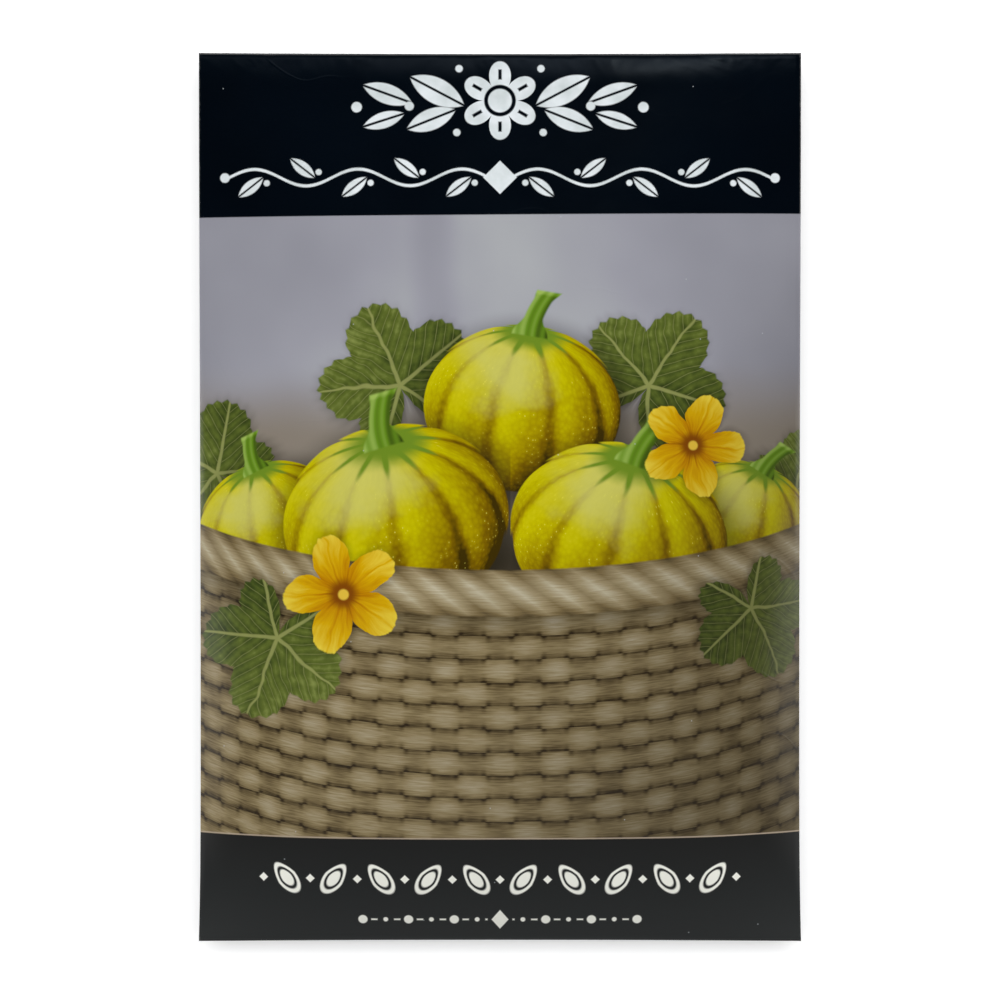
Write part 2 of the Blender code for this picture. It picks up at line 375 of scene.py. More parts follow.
def flat_panel(name, rows, columns, upward, half_widths=None):
    """A flat panel of the sheet. Its columns are places, or shares of half_widths, one for each row."""
    wide = len(columns)
    verts = [(x * half, y, 0) for y, half in zip(rows, half_widths or [1] * len(rows)) for x in columns]
    faces = []
    for row in range(len(rows) - 1):
        for n in range(row * wide, row * wide + wide - 1):
            face = (n, n + 1, n + wide + 1, n + wide)
            faces.append(face if upward else face[::-1])
    mesh = bpy.data.meshes.new(name)
    mesh.from_pydata(verts, [], faces)
    spread = mesh.uv_layers.new(name="OFBake")
    points = np.array(verts)[[loop.vertex_index for loop in mesh.loops], :2]
    lowest = points.min(axis=0)
    shares = 0.01 + 0.98 * (points - lowest) / (points.max(axis=0) - lowest)
    spread.data.foreach_set("uv", shares.ravel())
    return new_piece(name, mesh)


def share_of(place, size):
    """From -1 to 1 across a size, with 0 in its middle."""
    return (place / (size * 0.5)).max(-1.0).min(1.0)


def fullness(along, fullest):
    """From 0 at the end folds to 1 where the seeds settle."""
    heel = 1 - ((fullest - along).max(0.0) / (fullest + 1)) ** HEEL_SHARPNESS
    shoulder = ((along - fullest).max(0.0) / (1 - fullest) * math.pi).cos() * 0.5 + 0.5
    return heel * shoulder.max(0.0) ** SHOULDER_SHARPNESS


def split_place(place):
    node = add_node(place.id_data, "ShaderNodeSeparateXYZ", Vector=place)
    return [Field(way) for way in node.outputs]


def point(x, y, z=0.0):
    return add_node(tree_of(x), "ShaderNodeCombineXYZ", X=x, Y=y, Z=z).outputs["Vector"]


def folding_tree(name, sizes, height, sense, **others):
    """A tree that folds a flat panel: turns its margins round the folds and lifts it to its height.

    height(x, y, entries) gives the outer face. Sense is -1 where the folds turn down, and 1 for up.
    """
    inputs = {"Geometry": "Geometry"} | dict.fromkeys((*folds, *sizes), "Float") | others
    inputs["Finish"] = "Material"
    tree, start, end = new_group(name, inputs, {"Geometry": "Geometry"}, "GeometryNodeTree")
    entries = {entry.name: Field(entry) for entry in start.outputs if entry.type == "VALUE"}
    flat_x, flat_y, _ = split_place(add_node(tree, "GeometryNodeInputPosition").outputs["Position"])
    places, turned = [], []
    for place, size, near, far in (
        (flat_x, "Width", "Left Fold", "Right Fold"), (flat_y, "Height", "End Fold", "End Fold"),
    ):
        is_far = place.above(0.0)
        radius = is_far * entries[far] + (1 - is_far) * entries[near]
        flat = entries[size] * 0.5 - radius
        angle = (abs(place) - flat).max(0.0) / radius
        reach = abs(place).min(flat) + radius * angle.sin()
        places.append(reach * place.math("SIGN"))
        turned.append(radius * (1 - angle.cos()))
    x, y = places
    across = abs(share_of(x, entries["Width"]))
    along = share_of(y, entries["Height"])
    z = height(x, y, entries) + turned[0].max(turned[1]) * sense
    inward = entries["Side Pull"] * fullness(along, entries["Fullest"]) / (entries["Width"] * 0.5)
    upward = entries["End Pull"] * (1 - across * across) / (entries["Height"] * 0.5)
    folded = point(x * (1 - inward), y * (1 - upward), z)
    moved = add_node(tree, "GeometryNodeSetPosition", Geometry=start.outputs["Geometry"], Position=folded)
    dress(moved.outputs["Geometry"], start, end)
    return tree


def pillow(x, y, entries):
    """The front's outer face: a pillow, fullest low down, sunk a little between the seeds and rippled."""
    tree = tree_of(x)
    across = abs(share_of(x, entries["Width"]))
    swell = (1 - across**BULGE_SHARPNESS) * fullness(share_of(y, entries["Height"]), entries["Fullest"])
    z = entries["Edge Height"] + entries["Bulge"] * swell
    start = next(node for node in tree.nodes if node.type == "GROUP_INPUT")
    seeds = add_node(tree, "GeometryNodeObjectInfo", Object=start.outputs["Seeds"]).outputs["Geometry"]
    spot = point(x, y, z)
    near = add_node(tree, "GeometryNodeProximity", {"target_element": "FACES"}, Sample_Position=spot)
    join(seeds, next(entry for entry in near.inputs if entry.type == "GEOMETRY"))
    over_seed = 1 - ease(Field(near.outputs["Distance"]), SEED_REACH, SEED_FREE)
    sunk = entries["Seed Relief"] * (over_seed - 1) * swell
    waves = noise(point(x * RIPPLES_ACROSS, y * RIPPLES_ALONG), 1.0, 2) - 0.5
    waves = waves * (across**2 * 1.2 + 0.35) * (1 - across**12)
    return z + sunk + entries["Ripple"] * waves


def stock_white():
    """The sheet's bare inner side and its cut edges: uncoated off-white paper."""
    material, tree, shader = finished("bare_paper", Roughness=0.88)
    fibres = noise(place_of(tree), 6.0, 5, 1.5)
    white = ramp(fibres, (0.3, 214, 211, 202), (0.7, 240, 238, 231))
    feed(shader, Base_Color=white, Normal=bumped(fibres, 0.4, 0.02 * MM))
    return material


def length(x, y):
    return (x * x + y * y).root()


def soft_edge(distance, width):
    """1 inside an outline and 0 outside it, from a distance that is negative inside."""
    return (0.5 - distance / width).math("ADD", 0.0, clamp=True)


def moved_place(place, middle, turn=0.0, size=(1.0, 1.0), tone=0.0):
    """The same place in a motif's own frame: middle at 0, turned by degrees, half sizes 1, tone as Z."""
    node = add_node(place.id_data, "ShaderNodeMapping", {"vector_type": "TEXTURE"}, Vector=place)
    feed(node, Location=(*middle, -tone), Rotation=(0, 0, math.radians(turn)), Scale=(*size, 1))
    return node.outputs["Vector"]


def row_of_places(place, x, motifs, borders):
    """One place for a row of motifs side by side: each motif's own frame between its borders."""
    chosen = moved_place(place, *motifs[0])
    for motif, border in zip(motifs[1:], borders):
        chosen = blend(chosen, moved_place(place, *motif), x.above(border), "Vector")
    return chosen


MOTIF_OUTPUTS = {"Colour": "Color", "Share": "Float", "Shadow": "Float"}


def squash_print():
    """A printed round squash: warty ribs that run to its stem end, a pale sheen, and a shadow round it."""
    entries = {"Place": "Vector", "Lean": "Float", "Ribs": "Float"}
    tree, start, end = new_group("printed_squash", entries, MOTIF_OUTPUTS)
    x, y, tone = split_place(start.outputs["Place"])
    lean, ribs = Field(start.outputs["Lean"]), Field(start.outputs["Ribs"])
    depth = (1 - x * x - y * y).max(0.0).root()
    pole = y * lean.cos() + depth * lean.sin()
    facing = depth * lean.cos() - y * lean.sin()
    turn = x.angle(facing) + tone
    cloud = noise(point(x * 2 + tone * 5, y * 2), 1.0, 4) - 0.5
    rib = (turn + cloud * 0.1) * ribs
    groove = (0.5 - rib.cos() * 0.5) ** 7
    slope = rib.sin() * (1 - pole * pole).max(0.0).root()
    warts = add_node(tree, "ShaderNodeTexVoronoi", Vector=point(turn * 8, pole * 7, tone), Scale=2.6)
    wart = Field(warts.outputs["Distance"])
    light = 0.3 - x * 0.2 + y * 0.3 + depth * 0.36 + cloud * 0.22
    light = light - slope * 0.08 - groove * 0.26 - wart * 0.14
    skin = ramp(
        light, (0.0, 58, 44, 6), (0.2, 116, 90, 3), (0.42, 158, 140, 2), (0.62, 184, 175, 2),
        (0.82, 197, 188, 22), (1.0, 205, 200, 112),
    )
    sheen = (1 - ease(length(x + 0.22, y - 0.42) + cloud * 0.9, 0.1, 0.62)) * 0.62
    skin = blend(skin, ink(196, 194, 112), sheen)
    glints = (1 - ease(wart, 0.06, 0.2)) * ease(cloud + slope * 0.06, 0.0, 0.12) * 0.5
    skin = blend(skin, ink(226, 220, 96), glints)
    star = ease(pole + groove * 0.06 + cloud * 0.08, 0.9, 0.98)
    skin = blend(skin, ink(104, 132, 34), star)
    distance = length(x, y) + groove * 0.02 - 0.985
    shadow = (1 - ease(length(x - 0.04, y + 0.1), 0.86, 1.3)) * 0.72
    feed(end, Colour=skin, Share=soft_edge(distance, 0.014), Shadow=shadow)
    return tree


def leaf_print():
    """A printed squash leaf: five broad toothed lobes round its stalk, pale veins, a quilted face."""
    tree, start, end = new_group("printed_leaf", {"Place": "Vector"}, MOTIF_OUTPUTS)
    x, y, tone = split_place(start.outputs["Place"])
    warp = (noise(point(x, y, tone), 2.2, 2) - 0.5) * 0.34
    x, y = x + warp * 0.3, y + warp * 0.3
    around, reach = x.angle(y) + warp * 0.3, length(x, y)
    lobes = abs((around * 2.5).cos()) ** 0.75
    notch = (0.5 - around.cos() * 0.5) ** 14
    teeth = (around * 7).zigzag(0.5) * 0.08
    outline = (0.62 + lobes * 0.34) * (0.9 + around.cos() * 0.1) + teeth - notch * 0.5
    aside = abs(around).zigzag(math.pi / 5)
    along, off = reach * aside.cos(), reach * aside.sin()
    chevrons = (along - off * 1.15 + 5).zigzag(0.08)
    veins = soft_edge(off - 0.011 - (1 - reach) * 0.012, 0.016)
    side_veins = soft_edge(chevrons - 0.006, 0.012) * 0.6
    cells = noise(point(x, y, tone), 9.0, 3)
    light = 0.16 + chevrons * 2.4 + cells * 0.5 + y * 0.1 - x * 0.12 + tone * 0.1
    light = light - soft_edge(off - 0.05, 0.1) * 0.1
    face = ramp(light, (0.15, 28, 36, 16), (0.4, 56, 68, 26), (0.65, 88, 100, 40), (0.95, 136, 146, 78))
    face = blend(face, ink(146, 150, 88), veins.max(side_veins) * 0.75)
    shadow = (1 - ease(length(x, y + 0.06) - outline * 0.9, -0.1, 0.25)) * 0.6
    feed(end, Colour=face, Share=soft_edge(reach - outline, 0.02), Shadow=shadow)
    return tree


def blossom_print():
    """A printed squash blossom, open towards the reader: five ribbed petals round a deep orange throat."""
    tree, start, end = new_group("printed_blossom", {"Place": "Vector"}, MOTIF_OUTPUTS)
    x, y, tone = split_place(start.outputs["Place"])
    around = x.angle(y) + (noise(point(x, y, tone), 2.5, 1) - 0.5) * 0.3
    reach = length(x, y)
    petals = abs((around * 2.5).cos())
    aside = abs(around).zigzag(math.pi / 5)
    off = reach * aside.sin()
    ruffle = noise(point(around * 6, reach * 1.5, tone), 1.6, 3)
    outline = 0.42 + petals**0.8 * 0.54 + (ruffle - 0.5) * 0.1
    light = 0.16 + reach * 0.52 + petals * 0.16 + (ruffle - 0.5) * 0.5 - soft_edge(off - 0.014, 0.03) * 0.16
    petal = ramp(light, (0.1, 112, 62, 4), (0.35, 176, 118, 4), (0.6, 200, 158, 8), (0.9, 218, 196, 66))
    petal = blend(petal, ink(122, 66, 8), 1 - ease(reach, 0.12, 0.3))
    petal = blend(petal, ink(214, 178, 60), soft_edge(length(x, y + 0.01) - 0.085, 0.03))
    shadow = (1 - ease(reach - outline * 0.9, -0.1, 0.3)) * 0.55
    feed(end, Colour=petal, Share=soft_edge(reach - outline, 0.025), Shadow=shadow)
    return tree


def laid_on(below, motif, place, **values):
    """A motif over a colour: first its shadow, then its own colours."""
    node = add_node(place.id_data, "ShaderNodeGroup", {"node_tree": motif}, Place=place, **values)
    shaded = blend(below, ink(30, 26, 14), node.outputs["Shadow"])
    return blend(shaded, node.outputs["Colour"], node.outputs["Share"])


def stalk(below, place):
    """A short bent green stalk, ribbed along its length, drawn upwards from its foot."""
    x, y, _ = split_place(place)
    x = x - y * y * 0.3
    flare = 0.22 + (1 - ease(y, -0.1, 0.35)) * 0.2 + ease(y, 0.75, 1.0) * 0.07
    sides = abs(x) - flare
    mask = soft_edge(sides.max(y - 1).max(-0.12 - y), 0.05)
    light = 0.5 - x * 0.8 + (x * 26).sin() * 0.14 + ease(y, 0.86, 0.97) * 0.3
    green = ramp(light, (0.1, 48, 66, 14), (0.5, 96, 132, 30), (0.95, 150, 176, 84))
    return blend(below, green, mask)


def wall(x, y):
    """A plain lilac-grey garden wall, out of focus, that warms to grey-brown near its foot."""
    cloud = noise(point(x, y), 0.045, 2)
    joint = (1 - ease(abs(x + 8 + y * 0.03), 0.5, 4.5)) * 0.25
    tone = (0.72 + (cloud - 0.5) * 0.9 - joint - abs(x) * 0.012).math("ADD", 0.0, clamp=True)
    grey = ramp(tone, (0.1, 134, 134, 143), (0.45, 150, 150, 159), (0.85, 167, 169, 172))
    foot = 1 - ease(y + (cloud - 0.5) * 6, 8.0, 19.0)
    return blend(grey, ink(128, 118, 104), foot * 0.9)


def basket(below, x, y):
    """The near side of a round wicker basket: flat strands woven over and under stakes, and a twisted rim."""
    girth, dip = 52.0, 16  # the basket's radius, and how far its rows dip in the middle
    rim, half_rim, rim_lift, twist_pitch = -15.5, 3.1, 2.6, 5.4
    strand, stake = 3.1, 7.4
    share = share_of(x, 2 * girth)
    turn = share.math("ARCSINE") * girth
    level = y - (1 - (1 - share * share).root()) * dip
    row = ((rim - level) / strand).floor()
    in_row = (rim - level) / strand - row
    over = ((turn + row * 0.5 * stake) / stake * 2 * math.pi).cos()
    fibre = noise(point(turn * 0.35, level * 5 + row * 7), 1.0, 4)
    worn = noise(point(turn, level + row * 9), 0.16, 2)
    round_off = 1 - (in_row * 2 - 1) ** 2
    light = 0.2 + round_off * 0.34 + over * 0.13 + (fibre - 0.5) * 0.7 + (worn - 0.5) * 0.5
    light = light - abs(share) ** 3 * 0.16
    gap = (1 - ease(abs(over + 0.25), 0.0, 0.5)) * (1 - round_off) * 0.3
    weave = ramp(
        light - gap, (0.0, 44, 35, 22), (0.25, 96, 82, 54), (0.5, 132, 117, 84), (0.75, 156, 144, 116),
        (1.0, 186, 180, 166),
    )
    in_rim = level - rim - rim_lift
    twist = ((turn + in_rim * 1.3) / twist_pitch).zigzag(0.5) * 2
    bow = 1 - (in_rim / half_rim) ** 2
    rim_light = 0.14 + bow.max(0.0) * 0.42 + twist * 0.36 + (fibre - 0.5) * 0.5 - abs(share) ** 3 * 0.2
    braid = ramp(
        rim_light, (0.0, 46, 37, 23), (0.4, 116, 100, 68), (0.7, 152, 138, 106), (1.0, 188, 180, 156)
    )
    shade = 1 - ease(rim - level, -1.0, 4.5)
    weave = blend(weave, ink(30, 24, 15), shade * 0.55)
    below = blend(below, weave, soft_edge(level - rim, 0.3))
    return blend(below, braid, soft_edge(abs(in_rim) - half_rim, 0.25))


def dusk(colour, x, y):
    """The picture darkens towards its lower right corner."""
    return blend(colour, ink(38, 32, 22), ease(x - y * 0.6, 4.0, 64.0) * 0.6)


def squash_row(colour, squash, place, x, lean, ribs, squashes, borders):
    """A row of squashes, each (middle, turn, half sizes, tone), with their stalks."""
    here = row_of_places(place, x, squashes, borders)
    colour = laid_on(colour, squash, here, Lean=lean, Ribs=ribs)
    stalks = []
    for (across, up), turn, size, tone in squashes:
        tip, bend = math.cos(lean) * size[1], math.radians(turn)
        foot = (across - math.sin(bend) * tip, up + math.cos(bend) * tip)
        stalks.append((foot, turn * 1.6, (size[1] * 0.5,) * 2))
    return stalk(colour, row_of_places(place, x, stalks, borders))


leaf, blossom = leaf_print(), blossom_print()


def basket_picture(colour, place, x, y):
    """The basket, with leaves hanging over its side and two blossoms."""
    colour = basket(colour, x, y)
    hanging = (((-30, -19), 158, (11.5, 11.5), 0.4), ((34, -15), 205, (10, 10), 0.2))
    colour = laid_on(colour, leaf, row_of_places(place, x, hanging, (0,)))
    blossoms = (((-21, -13), 20, (8.5, 8.5), 0.1), ((26, 7), 50, (7.5, 7.5), 0.6))
    colour = laid_on(colour, blossom, row_of_places(place, x, blossoms, (0,)))
    return dusk(colour, x, y)


def basket_print(place, x, y):
    """The stretch of the picture that shows only the basket and what hangs over it."""
    return basket_picture(ink(0, 0, 0), point(x, y), x, y)


def heap_print(place, x, y):
    """The middle of the picture: round ribbed squashes heaped in a wicker basket before a wall."""
    place = point(x, y)
    squash = squash_print()
    colour = blend(wall(x, y), ink(46, 38, 24), (1 - ease(y, -9.0, 2.0)) * 0.85)
    far_leaves = (
        ((-38.5, 3), 62, (11, 11), 0.7), ((-13.5, 15), 22, (12, 12), 0.5),
        ((20, 15), -34, (11.5, 11.5), 0.1), ((40.5, 1), -80, (9, 9), 0.3),
    )
    colour = laid_on(colour, leaf, row_of_places(place, x, far_leaves, (-26.6, 3, 32)))
    far_row = (
        ((-31, -4), 16, (10.5, 9.0), 0.6), ((3, 12), -6, (13.5, 11.5), 0.0),
        ((33, -4), -20, (10.0, 9.0), 1.3),
    )
    colour = squash_row(colour, squash, place, x, 0.42, 10, far_row, (-17, 20))
    near_row = (((-14, -3), 10, (15.5, 13.0), 0.3), ((16, -5), -12, (15.0, 12.5), 0.9))
    colour = squash_row(colour, squash, place, x, 0.62, 11, near_row, (1.4,))
    return basket_picture(colour, place, x, y)


def almond(x, y, half_length, half_width):
    """Distance to a pointed leaf's outline, along Y."""
    radius = (half_length**2 + half_width**2) / (2 * half_width)
    return length(abs(x) + (radius - half_width), y) - radius


def seed_outline(x, y, half_length, half_width):
    """Rough distance to an egg shape's outline, along Y, pointed upwards."""
    taper = 1 - (y / half_length).max(0.0) * 0.3
    return (length(x / (taper * half_width), y / half_length) - 1) * half_width


def header_ornaments(x, y):
    """White line ornaments on the top band: a garland over a running vine, both mirrored about the middle."""
    high_y, low_y = 54.2, 43.6
    side = abs(x)
    around = x.angle(y - high_y)
    reach = length(x, y - high_y)
    petals = abs((around * 3).cos())
    rib = abs(around).zigzag(math.pi / 6) * reach - 0.24
    slits = rib.max(2.9 - reach).max(reach - 4.3)
    bloom = (reach - 2.3 - petals**0.7 * 3.1).max(0.28 - abs(reach - 1.9)).max(-slits)
    marks = [bloom]
    mirrored = point(side, y)
    for at, lift, turn, half_length, half_width in (
        (8.6, 1.3, -62, 4.2, 1.75), (9.4, -2.6, -112, 3.6, 1.45),
        (15.4, 0.9, -70, 3.6, 1.35), (15.9, -2.7, -108, 3.0, 1.1),
    ):
        u, v, _ = split_place(moved_place(mirrored, (at, high_y + lift), turn))
        marks.append(almond(u, v, half_length, half_width).max(0.17 - abs(u)))
    for at, lift, radius in ((12.4, -0.75, 0.62), (19.6, -0.9, 0.72), (5.9, -4.4, 0.5), (5.6, 4.4, 0.5)):
        marks.append(length(side - at, y - (high_y + lift)) - radius)
    first, pitch, waves, swing = 1.6, 7.1, 5, 1.15
    last = first + waves * pitch
    beyond = side - last
    vine = abs(y - low_y - ((side - first) / pitch * math.pi).sin() * swing) - 0.2
    marks += [vine.max(beyond), length(side - last - 0.5, y - low_y) - 0.65]
    cell = ((side - first) / pitch).floor()
    hand = cell.modulo(2.0) * 2 - 1
    here = point(side - first - (cell + 0.5) * pitch, (y - low_y) * hand)
    u, v, _ = split_place(moved_place(here, (0.5, 1.3), -52))
    sprig = almond(u, v, 2.15, 0.85).max(0.13 - abs(u))
    u, v, _ = split_place(here)
    berry = length(u + 1.7, v - 0.75) - 0.42
    sprigs = sprig.min(berry).max(beyond).max(first - side)
    marks += [sprigs, side + abs(y - low_y) - 2.3]
    nearest = marks[0]
    for mark in marks[1:]:
        nearest = nearest.min(mark)
    return soft_edge(nearest, 0.16)


def footer_ornaments(x, y):
    """Off-white fine-line ornaments on the bottom band: a row of leaning seeds over a row of dots."""
    high_y, low_y = -51.4, -57.3
    side = abs(x)
    pitch, row_end = 6.4, 32.0
    cell = (side / pitch).floor()
    hand = cell.modulo(2.0) * 2 - 1
    u, v = (side - (cell + 0.5) * pitch) * hand, y - high_y
    leaning_u, leaning_v, _ = split_place(moved_place(point(u, v), (0, 0), 38))
    outline = seed_outline(leaning_u, leaning_v, 2.5, 1.35)
    seeds = outline.max(0.15 - abs(outline + 0.5))
    diamonds = abs(abs(u) - pitch / 2) + abs(v) - 0.6
    row = seeds.min(diamonds).max(side - row_end - 0.6)
    pitch, first_dot, last_dot = 3.1, 1.7, 19.6
    cell = (side / pitch + 0.5).floor()
    u = side - cell * pitch
    odd = cell.modulo(2.0)
    dots = length(u, y - low_y) - (0.62 - odd * 0.3)
    dashes = (abs(abs(u) - pitch / 2) - 0.42).max(abs(y - low_y) - 0.11)
    lower = dots.min(dashes).max(side - last_dot).max(first_dot - side)
    star = side + abs(y - low_y) * 0.8 - 1.15
    return soft_edge(row.min(lower).min(star), 0.14)


HEADER_LINE, HEADER_SKEW = 38.46, 0.0068  # the band's lower edge at the middle, and its slope
FOOTER_LINE, FOOTER_SKEW = -45.78, 0.0013
HEADER_ZONE, BASKET_ZONE, FOOTER_ZONE = 31.0, -16.5, -33.2  # where the print's parts meet, each alike there
FRONT_RUB, BACK_RUB, FLAP_RUB = 0.35, 0.5, 0.55  # how far the ink is rubbed off along the folds


def header_print(place, x, y):
    """The front's top end: plain wall under a near-black band with white ornaments."""
    place = point(x, y)
    colour = dusk(wall(x, y), x, y)
    cloud = noise(place, 0.05, 2)
    navy = ramp(cloud, (0.3, 2, 6, 12), (0.7, 3, 9, 17))
    colour = blend(colour, navy, soft_edge(HEADER_LINE + x * HEADER_SKEW - y, 0.12))
    uneven = noise(place, 0.3, 3)
    white = ramp(uneven, (0.35, 204, 212, 213), (0.65, 226, 232, 235))
    return blend(colour, white, header_ornaments(x, y))


def footer_print(place, x, y):
    """The front's bottom end: the basket's weave, a thin pale line, and a dark grey band with ornaments,
    painted lighter towards the bottom edge as a painted sheen.
    """
    colour = dusk(basket(ink(0, 0, 0), x, y), x, y)
    foot = FOOTER_LINE + x * FOOTER_SKEW - y
    colour = blend(colour, ink(176, 160, 142), soft_edge(abs(foot + 0.09) - 0.09, 0.1) * 0.85)
    # The band is painted lighter towards the packet's bottom edge: a painted sheen where the varnish would
    # catch the light.
    band_with_painted_sheen = ramp((y + 62) / 18, (0.05, 43, 45, 45), (0.5, 33, 35, 35), (0.95, 23, 23, 22))
    colour = blend(colour, band_with_painted_sheen, soft_edge(-foot, 0.12))
    return blend(colour, ink(240, 240, 230), footer_ornaments(x, y))


TURN_REACH = 4.5  # how far from the top fold, in millimetres, the front starts to turn down to it
TURN_UNEVENNESS = 7.4  # how much deeper it turns where the varnish is smudged


def handling():
    """Wear from handling: pale rubbed folds, dust, faint creases, smudged varnish, a rounded-off top fold."""
    sizes = ("Half Width", "Half Height", "Rub")
    entries = {"Place": "Vector", "Colour": "Color"} | dict.fromkeys(sizes, "Float")
    results = {"Colour": "Color", "Roughness": "Float", "Height": "Float"}
    tree, start, end = new_group("handling", entries, results)
    place, colour = start.outputs["Place"], start.outputs["Colour"]
    half_width, half_height, rub = (Field(start.outputs[name]) for name in sizes)
    x, y, _ = split_place(place)
    edge = (half_width - abs(x)).min(half_height - abs(y))
    grit = noise(place, 1.7, 4)
    rubbed = (1 - ease(edge + (grit - 0.5) * 0.5, 0.0, 0.25)) * rub
    specks = add_node(tree, "ShaderNodeTexVoronoi", {"voronoi_dimensions": "2D"}, Vector=place, Scale=0.11)
    rare = add_node(tree, "ShaderNodeSeparateColor", Color=specks.outputs["Color"]).outputs["Red"]
    dust = soft_edge(Field(specks.outputs["Distance"]) - 0.009, 0.008) * Field(rare).above(0.78)
    bend = noise(place, 0.06, 2)
    line = abs((x * 0.03 + y * 0.13 + bend * 3).zigzag(1.0) - 0.5)
    crease = (1 - ease(line, 0.0, 0.045)) * ease(noise(place, 0.04, 1), 0.5, 0.7)
    smudge = noise(place, 0.09, 3, 0.6)
    colour = blend(colour, ink(176, 176, 172), rubbed * 0.45)
    colour = blend(colour, ink(190, 196, 200), dust * 0.5)
    waves = noise(place, 0.16, 2)
    turned = (y - half_height + TURN_REACH).max(0.0) / TURN_REACH
    drop = turned * turned * (smudge * TURN_UNEVENNESS + 1.0)
    height = waves * 0.5 + crease * 0.2 + grit * 0.03 - drop
    feed(end, Colour=colour, Roughness=0.08 + smudge * 0.1 + rubbed * 0.3, Height=height)
    return tree


def coated(name, rub, draw, *details):
    """Printed and varnished clay-coated paper. draw gives the print's colour at a place."""
    print_tree, start, end = new_group(f"{name}_art", {"Place": "Vector"}, {"Colour": "Color"})
    x, y, _ = split_place(start.outputs["Place"])
    feed(end, Colour=draw(start.outputs["Place"], x, y, *details))
    material, tree, shader = finished(name, Specular_IOR_Level=0.28)
    place = place_of(tree)
    art = add_node(tree, "ShaderNodeGroup", {"node_tree": print_tree}, Place=place).outputs["Colour"]
    worn = add_node(tree, "ShaderNodeGroup", {"node_tree": wear}, Place=place, Colour=art, Rub=rub)
    feed(worn, Half_Width=WIDTH / 2 / MM, Half_Height=HEIGHT / 2 / MM)
    feed(shader, Base_Color=worn.outputs["Colour"], Roughness=worn.outputs["Roughness"])
    feed(shader, Normal=bumped(worn.outputs["Height"], 0.35, 0.12 * MM))
    return material


def made_solid(piece):
    """Gives a panel of the envelope the sheet's thickness, with bare paper inside and along its cut edges."""
    printed = len(piece.data.materials)
    piece.data.materials.append(bare_paper)
    piece.data.shade_smooth()
    wall_step = piece.modifiers.new("paper", "SOLIDIFY")
    wall_step.thickness = PAPER
    wall_step.offset = -1
    wall_step.material_offset = wall_step.material_offset_rim = printed
    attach(piece, "root")
    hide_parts("envelope")


def folded_run(size, near, far, step):
    """Places across the flat sheet: a folded margin of that radius at each end, and even steps between."""
    middle = run_up(-size / 2 + near, size / 2 - far, step)
    return fold_arc(size / 2, near, -1) + middle + fold_arc(size / 2, far, 1)


bare_paper = stock_white()
wear = handling()
front_columns = folded_run(WIDTH, LEFT_FOLD, RIGHT_FOLD, MESH_STEP)
front_rows = folded_run(HEIGHT, END_FOLD, END_FOLD, MESH_STEP)
front_panel = flat_panel("front_panel", front_rows, front_columns, True)
pillow_sizes = {"Edge Height": EDGE_HEIGHT, "Bulge": BULGE, "Seed Relief": SEED_RELIEF, "Ripple": RIPPLE}
front_tree = folding_tree("fill_front", pillow_sizes, pillow, -1, Seeds="Object")
run_nodes(
    front_panel, front_tree, **folds, **pillow_sizes, Seeds=loose_seeds,
    Finish=coated("printed_header", FRONT_RUB, header_print),
)
for draw in (heap_print, basket_print, footer_print):
    front_panel.data.materials.append(coated(f"printed_{draw.__name__}", FRONT_RUB, draw))
for face in front_panel.data.polygons:
    face.material_index = sum(face.center.y / MM < top for top in (HEADER_ZONE, BASKET_ZONE, FOOTER_ZONE))
made_solid(front_panel)

# The back: the same sheet's right-hand panel, folded under and pressed flat on the table by the seeds.
# Its cut edge laps over the narrow side flap, which is folded in at the left and glued inside it.
FLAT_SIDE, FLAT_BOTTOM, FLAT_TOP = 0.55, -0.62, 0.35
LIFT_SHARPNESS = 1.7
BACK_SIDE_SETBACK, BACK_TOP_SETBACK = 0.6 * MM, 1.5 * MM
SIDE_FLAP = 12.5 * MM
BACK_STEP = 1.1 * MM


def lifted(x, y, entries):
    """The back's outer face: flat on the table in the middle, and lifted towards its edges."""
    across = abs(share_of(x, entries["Width"]))
    along = share_of(y, entries["Height"])
    side = (across - entries["Flat Side"]).max(0.0) / (1 - entries["Flat Side"])
    upper = (along - entries["Flat Top"]) / (1 - entries["Flat Top"])
    lower = (along - entries["Flat Bottom"]) / (-1 - entries["Flat Bottom"])
    ends = upper.max(lower).max(0.0)
    share = 1 - (1 - side**LIFT_SHARPNESS) * (1 - ends**LIFT_SHARPNESS)
    return entries["Edge Lift"] * share + entries["Raise"]


